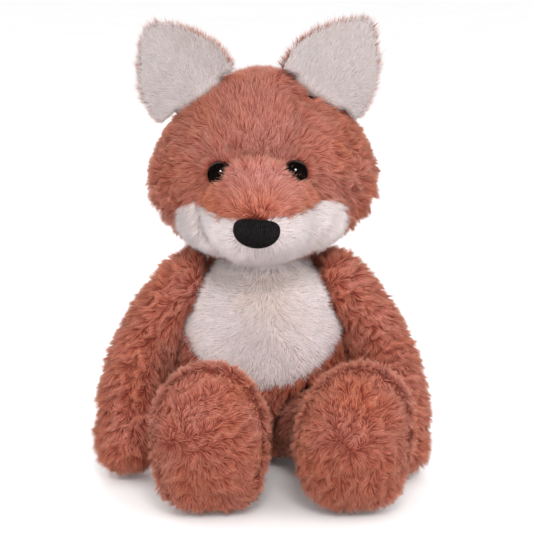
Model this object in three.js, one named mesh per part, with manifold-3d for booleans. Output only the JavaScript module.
// Plush fox, sitting: skins of pile fabric, sewn from panels round separate fibre fillings.
// Millimetres, +Z up. The fox faces -Y, and left and right are its own, so its left is +X.
// The origin is the middle of the flat face that it sits on.
// Each outer surface is where the tips of the pile lie. Soft seams that bend are built as a
// ball that turns in a round seat.

import * as THREE from "three";
import { mergeVertices } from "three/addons/utils/BufferGeometryUtils.js";
import Module from "manifold-3d";

const wasm = await Module();
wasm.setup();

// Fabric, seams and clearances
const skinThickness = 4.2;
const seamGap = 0.3; // between sewn panels, and between a skin and its filling
const seatGap = 0.3; // between a ball and its round seat
const restGap = 0.6; // between soft parts that lie against each other
const groundGap = 0.4; // between the ground and the hands, feet and tail
const overrun = 300; // how far a cutting shape runs past what it cuts

// Body
const bodyWidth = 120;
const bodyDepth = 98;
const bodyHeight = 126;
const bodySeatRound = 36; // how far up from the seat the body reaches its full girth
const bodyTopRound = 15;
const seatCut = 0.5; // how much of the rounded seat is pressed flat
const bellyTopWidth = 68;
const bellyWidth = 100;
const bellyTop = 140; // above the ground, in the hidden neck
const bellyWidest = 91; // above the ground
const bellyBottom = 57; // above the ground
const pelletBagWidth = 74;
const pelletBagDepth = 34;
const pelletBagHeight = 27;
const pelletBagBack = 11; // of the bag's middle behind the middle of the body

// Neck
const neckRadius = 27;
const neckRise = 8; // of the neck's pivot above the shoulders
const neckForward = 4;
const neckOpening = 16; // radius of the neck skin's open ends
const neckFrontWidth = 46; // of the cream panel that goes on from the belly

// Head, measured from the neck's pivot
const headWidth = 145;
const headDepth = 112;
const headHeight = 127;
const headRise = 69; // of the head's middle
const headForward = 2;
const jowlWidth = 114;
const jowlDepth = 78;
const jowlHeight = 54;
const jowlRise = 38;
const jowlForward = 23;
const snoutWidth = 73;
const snoutHeight = 58;
const snoutRise = 40;
const snoutReach = 82;
const snoutRoot = 14; // where the snout starts, inside the head
const snoutTipRound = 30; // how far back from its tip the snout is rounded
const headTurn = -3; // degrees: it looks a little to its right
const headRoll = -1.5; // degrees: its right ear is a little lower
const headAside = 1.5; // how far it is set to the fox's left

// Face panels, measured from the neck's pivot in front view
const browRise = 79; // top of the snout's rust panel
const browWidth = 32;
const snoutPanelWidth = 70; // at the rust panel's lower corners
const snoutPanelRise = 53; // of those corners
const lipWidth = 27; // of the rust panel where it meets the nose
const lipRise = 46;
const cheekWidth = 101;
const cheekRise = 40; // where the cream panel is widest
const cheekTop = 52;

// Nose and eyes
const noseWidth = 27;
const noseHeight = 17.5;
const noseDepth = 12;
const noseRise = 40;
const noseStandOut = 4.6; // how far it stands out of the snout
const eyeDiameter = 16;
const eyeDome = 6.4;
const eyeSpacing = 44.5;
const eyeRise = 70.5;
const eyeSeat = 1.4; // how deep the dome is set in the fabric
const eyeTurn = 12; // degrees that each eye looks outwards
const eyeStemDiameter = 4.4;
const eyeStemLength = 12;
const washerDiameter = 14;
const washerThickness = 1.8;
const washerClearance = 0.1; // all round the stem

// Ears
const earWidth = 58;
const earLength = 52; // from its root to the rounded tip
const earTipRound = 36; // how far down from its tip an ear is rounded
const earThickness = 7.2; // of both panels together
const earRise = 115; // where the ear's root meets the head, above the neck's pivot
const earTilt = 35.5; // degrees that the ear points outwards
const earLean = 2; // degrees that the ear leans back
const earForward = 14; // of its root in front of the neck's pivot
const earCupLeft = 6; // how far the ear's sides come forward
const earCupRight = 13;
const earHem = 12; // how far the ear's panels reach down past its root at its sides
const earRootRadius = 5.2;
const earRootLength = 22;
const earRootSink = 2.2; // of the root's middle below the head's surface
const earSwing = 25; // degrees each way

// Arms
const shoulderSpacing = 100;
const shoulderHeight = 110;
const shoulderForward = 4;
const armRadius = 21;
const handSwell = 2.5; // how much thicker the hand is than the arm
const armReachOut = 32; // of the hand from the shoulder
const armReachForward = 47;
const armOpening = 12; // radius of the open end inside the shoulder
const armRaise = 70; // degrees

// Legs and feet
const hipSpacing = 64;
const hipForward = 34;
const hipHeight = 29;
const legRadius = 26;
const legOpening = 14; // radius of the open end inside the hip
const footWidth = 76;
const footHeight = 95;
const footDepth = 60;
const footHeelRound = 44; // how far forward from its back the foot is rounded
const footSoleRound = 22; // how far back from its front
const footReach = 138; // from the middle of the body to the front of the foot
const footRise = 47; // of the foot's middle
const footSkew = 4; // how far the foot's back lies to the fox's right of its front
const footAsideLeft = 53.5; // of the foot's middle to the fox's left
const footAsideRight = -28.5;
const footTurnLeft = 12; // degrees that the foot's top leans to the fox's left
const footTurnRight = -2;
const soleWidth = 62;
const soleHeight = 78;
const soleDepth = 16; // from the front of the foot back to the sole's seam
const legLift = 22; // degrees

// Tail
const tailRootRadius = 13;
const tailRootBack = 43;
const tailRootHeight = 29;
const tailLength = 104;
const tailTipRound = 48; // how far back from its tip the tail is rounded
const tailAside = 28; // how far its tip lies to the fox's right
const tailWidth = 52;
const tailTipLength = 38;
const tailWag = 30; // degrees each way
const tailOpening = 8; // radius of the open end inside the body

// Fineness of the curved forms
const fineSides = 16;
const fineRings = 10;
const coarseSides = 8;
const coarseRings = 5;
const ballSides = 12;
const ballRings = 6;
const roundSides = 12;
const outlineSteps = 16;

// Form tables, as shares of the sizes that they follow
const bodyWidthShares = [1.0, 1.0, 0.97, 0.93, 0.9];
const bodyDepthShares = [1.0, 1.0, 0.97, 0.88, 0.78];
const armRouteShares = [[0, 0, 0], [0.58, 0.18, 0.24], [0.95, 0.5, 0.53], [1, 0.84, 0.82], [0.97, 1, 1]];
const headWidthShares = [1, 1, 1, 1, 1, 0.953, 0.882, 0.782, 0.62];
const headDepthShares = [1, 1, 1, 1, 1, 0.985, 0.95, 0.9, 0.82];
const snoutWidthShares = [1.05, 1.04, 0.98, 0.9, 0.78];
const footWidthShares = [0.82, 0.92, 1.0, 1.0, 0.96];
const tailWidthShares = [0.56, 0.82, 1.0, 0.96, 0.8];
const tailRouteShares = [[0, 0, 0], [0.3, 0.1, 0.6], [0.66, 0.45, 1], [1, 1, 1]];
const earWidthShares = [0.98, 1.0, 0.97, 0.8, 0.62];
const earThicknessShares = [1, 1, 1, 0.95, 0.9];
const bellyLowerShares = [[0.42, 0.1], [0.75, 0.42]]; // of the half width, and up to the widest
const bellyUpperShares = [0.8, 0.45]; // on the way from the widest to the top: in, and up
const snoutPanelShares = [[0, 0], [0.55, 0.55], [1, 0.88]]; // from its lower corners: in, and up
const chinShares = [[0, 1], [0.5, 1], [0.85, 0.35]]; // of the half width, and down over the jowls
const cheekTopShare = 0.9; // of the half width, where the cheek's top edge ends
const cheekInnerShares = [0.8, 0.5]; // on the way to the rust panel's corner: out, and down
const earSeamShare = 1.2; // how far the seam surface of an ear runs past its sides

// Colours
const rustColour = "#a8604f";
const creamColour = "#d6c8c8";
const blackColour = "#1b191a";
const whiteColour = "#ecebe6";

const paint = (color, roughness) => new THREE.MeshStandardMaterial({ color, roughness, metalness: 0 });
const rustPile = () => paint(rustColour, 0.95);
const creamPile = () => paint(creamColour, 0.95);
const noseThread = () => paint(blackColour, 0.8);
const eyePlastic = () => paint(blackColour, 0.1);
const washerPlastic = () => paint(whiteColour, 0.5);
const bagCloth = () => paint(whiteColour, 0.9);
const fibre = () => paint(whiteColour, 1);

const sideways = { left: 1, right: -1 };
const sideNames = Object.keys(sideways);
const xAxis = new THREE.Vector3(1, 0, 0);
const yAxis = new THREE.Vector3(0, 1, 0);
const zAxis = new THREE.Vector3(0, 0, 1);
const origin = new THREE.Vector3(0, 0, 0);
const radians = THREE.MathUtils.degToRad;
const mix = THREE.MathUtils.lerp;

// Solids from geometries, and back
function solidOf(geometry) {
  const bare = new THREE.BufferGeometry();
  bare.setAttribute("position", geometry.attributes.position.clone());
  if (geometry.index) bare.setIndex(geometry.index.clone());
  const merged = mergeVertices(bare);
  const vertProperties = new Float32Array(merged.attributes.position.array);
  const triVerts = new Uint32Array(merged.index.array);
  return new wasm.Manifold(new wasm.Mesh({ numProp: 3, vertProperties, triVerts }));
}

function geometryOf(solid) {
  const mesh = solid.getMesh();
  const geometry = new THREE.BufferGeometry();
  geometry.setAttribute("position", new THREE.BufferAttribute(mesh.vertProperties, mesh.numProp));
  geometry.setIndex(new THREE.BufferAttribute(mesh.triVerts, 1));
  geometry.computeVertexNormals();
  return geometry;
}

function placed(solid, placing) {
  return solidOf(geometryOf(solid).applyMatrix4(placing));
}

// A solid turned about an axis through a pivot
function turned(solid, pivot, axis, angle) {
  const placing = new THREE.Matrix4().makeTranslation(pivot);
  placing.multiply(new THREE.Matrix4().makeRotationAxis(axis, radians(angle)));
  placing.multiply(new THREE.Matrix4().makeTranslation(pivot.clone().negate()));
  return placed(solid, placing);
}

// What is left of a solid that turns through some angles about a pivot past a fixed one
function clearedOf(solid, fixed, pivot, axis, angles) {
  const passed = angles.map((angle) => turned(fixed, pivot, axis, -angle));
  return passed.reduce((rest, one) => rest.subtract(one), solid);
}

// The largest body of a solid, without the crumbs that cuts can leave
function largest(solid) {
  return solid.decompose().reduce((best, one) => (one.volume() > best.volume() ? one : best));
}

// A smooth run of sizes through shares that are evenly spaced along a form
function run(size, shares) {
  const points = shares.map((share, i) => new THREE.Vector2(i / (shares.length - 1), share));
  const curve = new THREE.SplineCurve(points);
  return (t) => size * curve.getPoint(THREE.MathUtils.clamp(t, 0, 1)).y;
}

// How wide a form is near a rounded end, as a share of its full width
function closingAt(distance, roundLength) {
  const share = THREE.MathUtils.clamp(1 - distance / roundLength, 0, 1);
  return Math.sqrt(1 - share ** 2);
}

// The points of a closed form: oval sections square to a path, with ends that are rounded over
// given lengths. An inset draws the whole form in.
function stuffedGeometry({ path, across, halfWidth, halfHeight, ends }, inset, sides, rings) {
  const length = path.getLength();
  const positions = [];
  for (let i = 0; i <= rings; i++) {
    const distance = ((length - 2 * inset) * (1 - Math.cos((Math.PI * i) / rings))) / 2;
    const fromEnd = length - 2 * inset - distance;
    const closing = closingAt(distance, ends[0] - inset) * closingAt(fromEnd, ends[1] - inset);
    const t = (distance + inset) / length;
    const forward = path.getTangentAt(t);
    const wide = across.clone().projectOnPlane(forward).normalize();
    const high = new THREE.Vector3().crossVectors(forward, wide);
    const corners = i === 0 || i === rings ? 1 : sides;
    for (let j = 0; j < corners; j++) {
      const angle = (2 * Math.PI * j) / sides;
      const point = path.getPointAt(t);
      point.addScaledVector(wide, Math.cos(angle) * closing * (halfWidth(t) - inset));
      point.addScaledVector(high, Math.sin(angle) * closing * (halfHeight(t) - inset));
      positions.push(point.x, point.y, point.z);
    }
  }
  return ringed(positions, sides, rings);
}

// The surface over rings of points that start and end in a single point
function ringed(positions, sides, rings) {
  const at = (i, j) => (i === 0 ? 0 : 1 + (i - 1) * sides + (i === rings ? 0 : j % sides));
  const faces = [];
  for (let i = 0; i < rings; i++) {
    for (let j = 0; j < sides; j++) {
      if (i < rings - 1) faces.push(at(i, j), at(i + 1, j + 1), at(i + 1, j));
      if (i > 0) faces.push(at(i, j), at(i, j + 1), at(i + 1, j + 1));
    }
  }
  const geometry = new THREE.BufferGeometry();
  geometry.setAttribute("position", new THREE.Float32BufferAttribute(positions, 3));
  geometry.setIndex(faces);
  return geometry;
}

// A stuffed form as a solid: fine on its outside, and coarse inside, where it is drawn in
function stuffed(form, inset = 0) {
  const fine = inset <= 0;
  const sides = fine ? fineSides : coarseSides;
  const rings = fine ? fineRings : coarseRings;
  return solidOf(stuffedGeometry(form, inset, sides, rings));
}

function ellipsoid(middle, width, depth, height, inset = 0) {
  const sides = inset > 0 ? coarseSides : fineSides;
  const rings = inset > 0 ? coarseRings : fineRings;
  const geometry = new THREE.SphereGeometry(1, sides, rings);
  geometry.scale(width / 2 - inset, depth / 2 - inset, height / 2 - inset);
  geometry.translate(middle.x, middle.y, middle.z);
  return solidOf(geometry);
}

function ball(middle, radius, start = 0) {
  const geometry = new THREE.SphereGeometry(radius, ballSides, ballRings, start);
  geometry.translate(middle.x, middle.y, middle.z);
  return solidOf(geometry);
}

// The hollow that a faceted ball turns in: its flats face the ball's corners and stay clear of
// them as it turns
function seat(middle, radius) {
  const flats = Math.cos(Math.PI / ballSides) * Math.cos(Math.PI / ballRings / 2);
  return ball(middle, (radius + seatGap) / flats, Math.PI / ballSides);
}

// A shape turned round its axis, from points of radius and height. The points start and end on
// the axis, or close on themselves. The axis is then +Z.
function lathed(points) {
  const profile = points.map(([radius, height]) => new THREE.Vector2(radius, height));
  const geometry = new THREE.LatheGeometry(profile, roundSides);
  geometry.rotateX(Math.PI / 2);
  return solidOf(geometry);
}

function rod(radius, bottom, top) {
  return lathed([[0, bottom], [radius, bottom], [radius, top], [0, top]]);
}

// A rod from a point in a direction
function rodTowards(start, direction, radius, length) {
  const swing = new THREE.Quaternion().setFromUnitVectors(zAxis, direction);
  const placing = new THREE.Matrix4().compose(start, swing, new THREE.Vector3(1, 1, 1));
  return placed(rod(radius, 0, length), placing);
}

// A smooth outline in front view, drawn out by a margin, that runs from a front to a back
function frontPrism(points, margin, front, back) {
  const middles = points.map(([x, z]) => new THREE.Vector3(x, z, 0));
  const curve = new THREE.CatmullRomCurve3(middles, true);
  const edge = [];
  for (let i = 0; i < outlineSteps; i++) {
    const point = curve.getPoint(i / outlineSteps);
    const along = curve.getTangent(i / outlineSteps);
    edge.push(new THREE.Vector2(point.x + along.y * margin, point.y - along.x * margin));
  }
  const depth = back - front;
  const geometry = new THREE.ExtrudeGeometry(new THREE.Shape(edge), { depth, bevelEnabled: false });
  geometry.rotateX(Math.PI / 2);
  geometry.translate(0, back, 0);
  return solidOf(geometry);
}

// An outline from its half on the fox's left, given upwards, with the same half mirrored
function mirrored(half) {
  const onSide = half.filter(([x]) => x > 0);
  const otherSide = onSide.map(([x, z]) => [-x, z]).reverse();
  return [half[0], ...onSide, half[half.length - 1], ...otherSide];
}

function block(low, high) {
  const size = new THREE.Vector3().subVectors(high, low);
  const geometry = new THREE.BoxGeometry(size.x, size.y, size.z);
  geometry.translate((low.x + high.x) / 2, (low.y + high.y) / 2, (low.z + high.z) / 2);
  return solidOf(geometry);
}

// All that lies above a height, and all that lies behind a depth
const farCorner = new THREE.Vector3(overrun, overrun, overrun);
const above = (height) => block(new THREE.Vector3(-overrun, -overrun, height), farCorner);
const behind = (depth) => block(new THREE.Vector3(-overrun, depth, -overrun), farCorner);

// A named piece of the fox
function piece(name, solid, material) {
  const mesh = new THREE.Mesh(geometryOf(largest(solid)), material);
  mesh.name = name;
  return mesh;
}

// Where the neck, the limbs and the tail turn
const neckPivot = new THREE.Vector3(0, -neckForward, shoulderHeight + neckRise);
const tailPivot = new THREE.Vector3(0, tailRootBack, tailRootHeight);
const shoulderPivot = (side) =>
  new THREE.Vector3((sideways[side] * shoulderSpacing) / 2, -shoulderForward, shoulderHeight);
const hipPivot = (side) =>
  new THREE.Vector3((sideways[side] * hipSpacing) / 2, -hipForward, hipHeight);

// The body's whole form, drawn in by an inset or, where it is negative, out
const bodyBase = new THREE.Vector3(0, 0, -seatCut);
const bodyTop = new THREE.Vector3(0, 0, bodyHeight);
const bodyForm = {
  path: new THREE.LineCurve3(bodyBase, bodyTop),
  across: xAxis,
  halfWidth: run(bodyWidth / 2, bodyWidthShares),
  halfHeight: run(bodyDepth / 2, bodyDepthShares),
  ends: [bodySeatRound, bodyTopRound],
};
const bodySolid = (inset) => stuffed(bodyForm, inset).intersect(above(inset));

function bodySeats() {
  const limbs = sideNames.flatMap((side) => [
    seat(shoulderPivot(side), armRadius),
    seat(hipPivot(side), legRadius),
  ]);
  const others = [seat(neckPivot, neckRadius), seat(tailPivot, tailRootRadius)];
  return [...limbs, ...others].reduce((all, one) => all.add(one));
}

// The belly panel is cut out of the body's skin. Its edge runs from the bottom to the neck.
function bellyPrism(margin) {
  const [narrowed, risen] = bellyUpperShares;
  const edge = mirrored([
    [0, bellyBottom],
    ...bellyLowerShares.map(([out, up]) => [
      (bellyWidth / 2) * out,
      mix(bellyBottom, bellyWidest, up),
    ]),
    [bellyWidth / 2, bellyWidest],
    [mix(bellyWidth, bellyTopWidth, narrowed) / 2, mix(bellyWidest, bellyTop, risen)],
    [bellyTopWidth / 2, bellyTop],
    [0, bellyTop],
  ]);
  return frontPrism(edge, margin, -bodyDepth, 0);
}

function makeBody() {
  const seats = bodySeats();
  const shell = bodySolid(0).subtract(bodySolid(skinThickness)).subtract(seats);
  const stuffing = bodySolid(skinThickness + seamGap);
  const bagMiddle = new THREE.Vector3(
    0,
    pelletBagBack,
    skinThickness + seamGap + pelletBagHeight / 2,
  );
  const bag = ellipsoid(bagMiddle, pelletBagWidth, pelletBagDepth, pelletBagHeight);
  const bagRoom = ellipsoid(bagMiddle, pelletBagWidth, pelletBagDepth, pelletBagHeight, -2 * seamGap);
  const group = new THREE.Group();
  group.add(
    piece("torso_skin", shell.subtract(bellyPrism(seamGap)), rustPile()),
    piece("belly_panel", shell.intersect(bellyPrism(0)), creamPile()),
    piece("torso_filling", stuffing.subtract(seats).subtract(bagRoom), fibre()),
    piece("pellet_bag", bag.intersect(stuffing), bagCloth()),
  );
  return group;
}

// The neck is a ball of firm filling in a band of skin, whose front panel goes on from the belly
function makeNeck() {
  const innerRadius = neckRadius - skinThickness;
  const openAngle = Math.asin(neckOpening / neckRadius);
  const arc = (radius, from, to) => {
    const points = [];
    for (let i = 0; i <= ballRings; i++) {
      const angle = mix(from, to, i / ballRings);
      points.push([radius * Math.sin(angle), -radius * Math.cos(angle)]);
    }
    return points;
  };
  const outside = arc(neckRadius, openAngle, Math.PI - openAngle);
  const inside = arc(innerRadius, Math.PI - openAngle, openAngle);
  const flats = Math.cos(Math.PI / roundSides);
  const band = lathed([...outside, ...inside, outside[0]]);
  const frontRoom = (margin) => {
    const half = neckFrontWidth / 2 + margin;
    return block(new THREE.Vector3(-half, -overrun, -overrun), new THREE.Vector3(half, 0, overrun));
  };
  const group = new THREE.Group();
  group.add(
    piece("neck_skin", band.subtract(frontRoom(seamGap)), rustPile()),
    piece("neck_front", band.intersect(frontRoom(0)), creamPile()),
    piece("neck_filling", ball(origin, (innerRadius - seamGap) * flats), fibre()),
  );
  group.position.copy(neckPivot);
  return group;
}

// The head's form: the head itself, the jowls and the snout
const headBottom = new THREE.Vector3(0, -headForward, headRise - headHeight / 2);
const headTop = new THREE.Vector3(0, -headForward, headRise + headHeight / 2);
const headForm = {
  path: new THREE.LineCurve3(headBottom, headTop),
  across: xAxis,
  halfWidth: run(headWidth / 2, headWidthShares),
  halfHeight: run(headDepth / 2, headDepthShares),
  ends: [headHeight / 2, headHeight / 2],
};
const jowlMiddle = new THREE.Vector3(0, -jowlForward, jowlRise);
const snoutStart = new THREE.Vector3(0, -snoutRoot, snoutRise);
const snoutTip = new THREE.Vector3(0, -snoutReach, snoutRise);
const snoutForm = {
  path: new THREE.LineCurve3(snoutStart, snoutTip),
  across: xAxis,
  halfWidth: run(snoutWidth / 2, snoutWidthShares),
  halfHeight: run(snoutHeight / 2, snoutWidthShares),
  ends: [snoutReach - snoutRoot - snoutTipRound, snoutTipRound],
};

function headSolid(inset) {
  const jowls = ellipsoid(jowlMiddle, jowlWidth, jowlDepth, jowlHeight, inset);
  return stuffed(headForm, inset).add(jowls).add(stuffed(snoutForm, inset));
}

// The rust panel on top of the snout, and the cream panel of the lower face
function snoutPrism(margin) {
  const edge = mirrored([
    [0, lipRise],
    [lipWidth / 2, lipRise],
    ...snoutPanelShares.map(([narrowed, up]) => [
      mix(snoutPanelWidth, browWidth, narrowed) / 2,
      mix(snoutPanelRise, browRise, up),
    ]),
    [0, browRise],
  ]);
  return frontPrism(edge, margin, -snoutReach - overrun, -snoutRoot);
}

function cheekPrism(margin) {
  const [outwards, lowered] = cheekInnerShares;
  const edge = mirrored([
    ...chinShares.map(([out, down]) => [(cheekWidth / 2) * out, jowlRise - jowlHeight * down]),
    [cheekWidth / 2, cheekRise],
    [(cheekWidth / 2) * cheekTopShare, cheekTop],
    [mix(lipWidth, snoutPanelWidth, outwards) / 2, mix(cheekTop, snoutPanelRise, lowered)],
    [0, cheekTop],
  ]);
  return frontPrism(edge, margin, -snoutReach - overrun, -jowlForward);
}

// Half the head's width and depth at a height, and a place on the front of its skin
function headGirth(z) {
  const up = z - headBottom.z;
  const [lower, upper] = headForm.ends;
  const closing = closingAt(up, lower) * closingAt(headHeight - up, upper);
  const halfWidth = headForm.halfWidth(up / headHeight) * closing;
  const halfDepth = headForm.halfHeight(up / headHeight) * closing;
  return { halfWidth, halfDepth };
}

function headFront(x, z) {
  const { halfWidth, halfDepth } = headGirth(z);
  return -headForward - halfDepth * Math.sqrt(1 - (x / halfWidth) ** 2);
}

function eyePlacing(side) {
  const x = (sideways[side] * eyeSpacing) / 2;
  const placing = new THREE.Matrix4().makeTranslation(x, headFront(x, eyeRise), eyeRise);
  placing.multiply(new THREE.Matrix4().makeRotationZ(radians(sideways[side] * eyeTurn)));
  return placing.multiply(new THREE.Matrix4().makeRotationX(Math.PI / 2));
}

// An eye: a dome on a flat seat, with a stem that goes in through the fabric
function eyeSolid() {
  const radius = eyeDiameter / 2;
  const dome = [];
  for (let i = 0; i < ballRings / 2; i++) {
    const angle = (Math.PI * i) / ballRings;
    dome.push([radius * Math.cos(angle), eyeDome * Math.sin(angle) - eyeSeat]);
  }
  return lathed([
    [0, -eyeStemLength],
    [eyeStemDiameter / 2, -eyeStemLength],
    [eyeStemDiameter / 2, -eyeSeat],
    ...dome,
    [0, eyeDome - eyeSeat],
  ]);
}

const washerTop = -skinThickness - seamGap;
function washerSolid() {
  const inside = eyeStemDiameter / 2 / Math.cos(Math.PI / roundSides) + washerClearance;
  const corners = [
    [inside, washerTop - washerThickness],
    [washerDiameter / 2, washerTop - washerThickness],
    [washerDiameter / 2, washerTop],
    [inside, washerTop],
  ];
  return lathed([...corners, corners[0]]);
}

// The room that an eye and its washer take in the fabric and the filling
function eyeRoom() {
  const flats = Math.cos(Math.PI / roundSides);
  const dome = rod((eyeDiameter / 2 + seamGap) / flats, -eyeSeat - seamGap, overrun);
  const stem = rod((eyeStemDiameter / 2 + seamGap) / flats, -eyeStemLength - seamGap, 0);
  const washerBottom = washerTop - washerThickness - seamGap;
  const washer = rod((washerDiameter / 2 + seamGap) / flats, washerBottom, washerTop + seamGap);
  return dome.add(stem).add(washer);
}

// An ear's own axes: its root lies along X, and the ear stands up along Z
function earPlacing(side) {
  const { halfWidth, halfDepth } = headGirth(earRise);
  const outwards = halfWidth * Math.sqrt(1 - ((earForward - headForward) / halfDepth) ** 2);
  const turn = new THREE.Matrix4().makeRotationY(radians(sideways[side] * earTilt));
  turn.multiply(new THREE.Matrix4().makeRotationX(radians(-earLean)));
  const place = new THREE.Vector3(sideways[side] * outwards, -earForward, earRise);
  place.addScaledVector(zAxis.clone().transformDirection(turn), -earRootSink);
  return new THREE.Matrix4().makeTranslation(place).multiply(turn);
}

function earRoot(radius, corners) {
  const geometry = new THREE.CapsuleGeometry(radius, earRootLength, corners / 4, corners);
  geometry.rotateZ(Math.PI / 2);
  return solidOf(geometry);
}

function earRootRoom() {
  const flats = Math.cos(Math.PI / roundSides);
  return earRoot((earRootRadius + seatGap) / (flats * flats), roundSides);
}

// Both panels of an ear: flat and soft-edged, with the sides brought forward
function earSheet(cup) {
  const form = {
    path: new THREE.LineCurve3(new THREE.Vector3(0, 0, -earHem), new THREE.Vector3(0, 0, earLength)),
    across: xAxis,
    halfWidth: run(earWidth / 2, earWidthShares),
    halfHeight: run(earThickness / 2, earThicknessShares),
    ends: [earHem, earTipRound],
  };
  const geometry = stuffedGeometry(form, 0, fineSides, fineRings);
  const position = geometry.attributes.position;
  for (let i = 0; i < position.count; i++) {
    position.setY(i, position.getY(i) - cup * (position.getX(i) / (earWidth / 2)) ** 2);
  }
  return solidOf(geometry);
}

// All that lies behind the seam surface between an ear's two panels, shifted by an offset
function behindEarSeam(cup, offset) {
  const edge = [];
  for (let i = 0; i <= coarseSides; i++) {
    const share = mix(-earSeamShare, earSeamShare, i / coarseSides);
    edge.push(new THREE.Vector2((share * earWidth) / 2, offset - cup * share ** 2));
  }
  edge.push(new THREE.Vector2(edge[coarseSides].x, overrun), new THREE.Vector2(edge[0].x, overrun));
  const depth = 2 * overrun;
  const geometry = new THREE.ExtrudeGeometry(new THREE.Shape(edge), { depth, bevelEnabled: false });
  geometry.translate(0, 0, -overrun);
  return solidOf(geometry);
}

function makeEar(side, skull) {
  const cup = side === "left" ? earCupLeft : earCupRight;
  const placing = earPlacing(side);
  const head = placed(skull, placing.clone().invert());
  const sheet = clearedOf(earSheet(cup), head, origin, xAxis, [-earSwing, 0, earSwing]);
  const back = sheet.intersect(behindEarSeam(cup, seamGap / 2)).add(earRoot(earRootRadius, roundSides));
  const front = sheet.subtract(behindEarSeam(cup, -seamGap / 2)).subtract(earRootRoom());
  const group = new THREE.Group();
  group.add(piece(`ear_back_${side}`, back, rustPile()), piece(`ear_front_${side}`, front, creamPile()));
  group.applyMatrix4(placing);
  return group;
}

function makeEye(side) {
  const group = new THREE.Group();
  group.add(
    piece(`eye_${side}`, eyeSolid(), eyePlastic()),
    piece(`eye_washer_${side}`, washerSolid(), washerPlastic()),
  );
  group.applyMatrix4(eyePlacing(side));
  return group;
}

function makeNose() {
  const middle = new THREE.Vector3(0, noseDepth / 2 - snoutReach - noseStandOut, noseRise);
  const pad = ellipsoid(middle, noseWidth, noseDepth, noseHeight);
  return piece("nose", pad.subtract(stuffed(snoutForm, -seamGap)), noseThread());
}

function makeHead() {
  const turn = new THREE.Euler(0, radians(headRoll), radians(headTurn), "ZYX");
  const place = neckPivot.clone().addScaledVector(xAxis, headAside);
  const placing = new THREE.Matrix4().makeRotationFromEuler(turn).setPosition(place);
  const neckSeat = seat(neckPivot.clone().applyMatrix4(placing.clone().invert()), neckRadius);
  const rooms = sideNames.flatMap((side) => [
    placed(eyeRoom(), eyePlacing(side)),
    placed(earRootRoom(), earPlacing(side)),
  ]);
  const cuts = rooms.reduce((all, one) => all.add(one), neckSeat);
  const shell = headSolid(0).subtract(headSolid(skinThickness)).subtract(cuts);
  const rest = shell.subtract(snoutPrism(seamGap)).subtract(cheekPrism(seamGap));
  const skull = stuffed(headForm, -restGap);
  const group = new THREE.Group();
  group.add(
    piece("head_skin", rest, rustPile()),
    piece("snout_top", shell.intersect(snoutPrism(0)), rustPile()),
    piece("cheek_panel", shell.intersect(cheekPrism(0)).subtract(snoutPrism(seamGap)), creamPile()),
    piece("head_filling", headSolid(skinThickness + seamGap).subtract(cuts), fibre()),
    makeNose(),
    ...sideNames.map((side) => makeEye(side)),
    ...sideNames.map((side) => makeEar(side, skull)),
  );
  group.applyMatrix4(placing);
  return group;
}

// An arm from the shoulder to the hand on the ground
function armForm(side) {
  const shoulder = shoulderPivot(side);
  const reached = new THREE.Vector3(
    sideways[side] * armReachOut,
    -armReachForward,
    groundGap - shoulderHeight,
  );
  const points = armRouteShares.map((shares) =>
    new THREE.Vector3(...shares).multiply(reached).add(shoulder),
  );
  const start = shoulder.clone().sub(points[1]).setLength(armRadius).add(shoulder);
  const radius = (t) => armRadius + handSwell * t;
  return {
    path: new THREE.CatmullRomCurve3([start, ...points]),
    across: xAxis,
    halfWidth: radius,
    halfHeight: radius,
    ends: [armRadius, armRadius],
  };
}

// A limb turns on a ball at its root. It is cut clear of the body through its whole swing, and
// of what lies beside it, which is given as a function of a margin.
function limbSolid({ forms, pivot, radius, axis, angles, beside }, inset) {
  const margin = restGap + inset;
  const limb = forms.map((form) => stuffed(form, inset)).reduce((all, one) => all.add(one));
  const body = stuffed(bodyForm, -margin);
  const cleared = clearedOf(limb, body, pivot, axis, angles);
  const apart = beside ? cleared.subtract(beside(margin)) : cleared;
  return largest(apart).add(ball(pivot, radius - inset)).intersect(above(groundGap + inset));
}

// The skin of a limb, open towards the body, and its filling
function makeLimb(limb) {
  const mouth = rodTowards(limb.pivot, limb.inward, limb.opening, limb.radius + overrun);
  const hollow = limbSolid(limb, skinThickness);
  return {
    skin: limbSolid(limb, 0).subtract(hollow).subtract(mouth),
    filling: limbSolid(limb, skinThickness + seamGap),
  };
}

function makeArm(side) {
  const arm = makeLimb({
    forms: [armForm(side)],
    pivot: shoulderPivot(side),
    radius: armRadius,
    axis: new THREE.Vector3(0, -sideways[side], 0),
    angles: [0, armRaise],
    opening: armOpening,
    inward: new THREE.Vector3(-sideways[side], 0, 0),
    beside: (margin) => legRoom(side, margin),
  });
  const group = new THREE.Group();
  group.add(
    piece(`arm_skin_${side}`, arm.skin, rustPile()),
    piece(`arm_filling_${side}`, arm.filling, fibre()),
  );
  return group;
}

// A leg runs forward to a broad foot, whose front is the sole
const footAside = { left: footAsideLeft, right: footAsideRight };
const footTurn = { left: footTurnLeft, right: footTurnRight };

function footForm(side) {
  const turn = radians(footTurn[side]);
  const front = new THREE.Vector3(footAside[side], -footReach, footRise);
  const back = new THREE.Vector3(footAside[side] - footSkew, footDepth - footReach, footRise);
  return {
    path: new THREE.LineCurve3(back, front),
    across: new THREE.Vector3(Math.cos(turn), 0, -Math.sin(turn)),
    halfWidth: run(footWidth / 2, footWidthShares),
    halfHeight: run(footHeight / 2, footWidthShares),
    ends: [footHeelRound, footSoleRound],
  };
}

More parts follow.
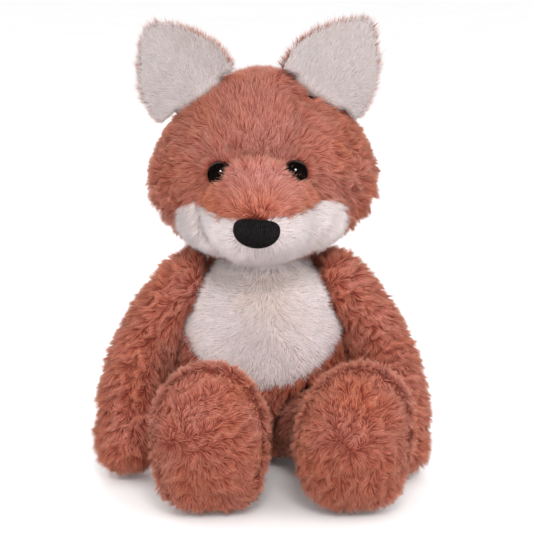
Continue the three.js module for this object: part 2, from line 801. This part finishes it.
function legForm(side) {
  const foot = footForm(side).path.getPoint(0.5);
  const hip = hipPivot(side);
  const end = new THREE.Vector3(foot.x, foot.y, mix(hip.z, foot.z, 0.5));
  const start = hip.clone().sub(end).setLength(legRadius).add(hip);
  return {
    path: new THREE.LineCurve3(start, end),
    across: xAxis,
    halfWidth: () => legRadius,
    halfHeight: () => legRadius,
    ends: [legRadius, legRadius],
  };
}

// What a leg passes through as it is lifted, with a margin
const legAxis = new THREE.Vector3(-1, 0, 0);
function legRoom(side, margin) {
  const leg = stuffed(legForm(side), -margin).add(stuffed(footForm(side), -margin));
  const lifts = [0, legLift / 2, legLift].map((angle) => turned(leg, hipPivot(side), legAxis, angle));
  return lifts.reduce((all, one) => all.add(one));
}

// The sole is the oval front of the foot
function solePrism(side, margin) {
  const turn = radians(footTurn[side]);
  const edge = [];
  for (let i = 0; i < outlineSteps / 2; i++) {
    const angle = (4 * Math.PI * i) / outlineSteps;
    const x = (soleWidth / 2) * Math.cos(angle);
    const z = (soleHeight / 2) * Math.sin(angle);
    edge.push([
      footAside[side] + x * Math.cos(turn) + z * Math.sin(turn),
      footRise - x * Math.sin(turn) + z * Math.cos(turn),
    ]);
  }
  return frontPrism(edge, margin, -footReach - overrun, soleDepth - footReach);
}

function makeLeg(side) {
  const leg = makeLimb({
    forms: [legForm(side), footForm(side)],
    pivot: hipPivot(side),
    radius: legRadius,
    axis: legAxis,
    angles: [0, legLift],
    opening: legOpening,
    inward: yAxis,
  });
  const group = new THREE.Group();
  group.add(
    piece(`leg_skin_${side}`, leg.skin.subtract(solePrism(side, seamGap)), rustPile()),
    piece(`foot_sole_${side}`, leg.skin.intersect(solePrism(side, 0)), rustPile()),
    piece(`leg_filling_${side}`, leg.filling, fibre()),
  );
  return group;
}

// The tail lies on the ground behind the body
function makeTail() {
  const settled = tailWidth / 2 + groundGap;
  const points = tailRouteShares.map(
    ([back, aside, down]) =>
      new THREE.Vector3(
        -tailAside * aside,
        tailRootBack + tailLength * back,
        mix(tailRootHeight, settled, down),
      ),
  );
  const form = {
    path: new THREE.CatmullRomCurve3(points),
    across: xAxis,
    halfWidth: run(tailWidth / 2, tailWidthShares),
    halfHeight: run(tailWidth / 2, tailWidthShares),
    ends: [tailRootRadius, tailTipRound],
  };
  const tail = makeLimb({
    forms: [form],
    pivot: tailPivot,
    radius: tailRootRadius,
    axis: zAxis,
    angles: [-tailWag, 0, tailWag],
    opening: tailOpening,
    inward: yAxis.clone().negate(),
  });
  const seam = tailRootBack + tailLength - tailTipLength;
  const group = new THREE.Group();
  group.add(
    piece("tail_skin", tail.skin.subtract(behind(seam - seamGap)), rustPile()),
    piece("tail_tip", tail.skin.intersect(behind(seam)), creamPile()),
    piece("tail_filling", tail.filling, fibre()),
  );
  return group;
}

const fox = new THREE.Group();
fox.add(makeBody(), makeNeck(), makeHead(), makeTail());
for (const side of sideNames) fox.add(makeArm(side), makeLeg(side));

export default fox;
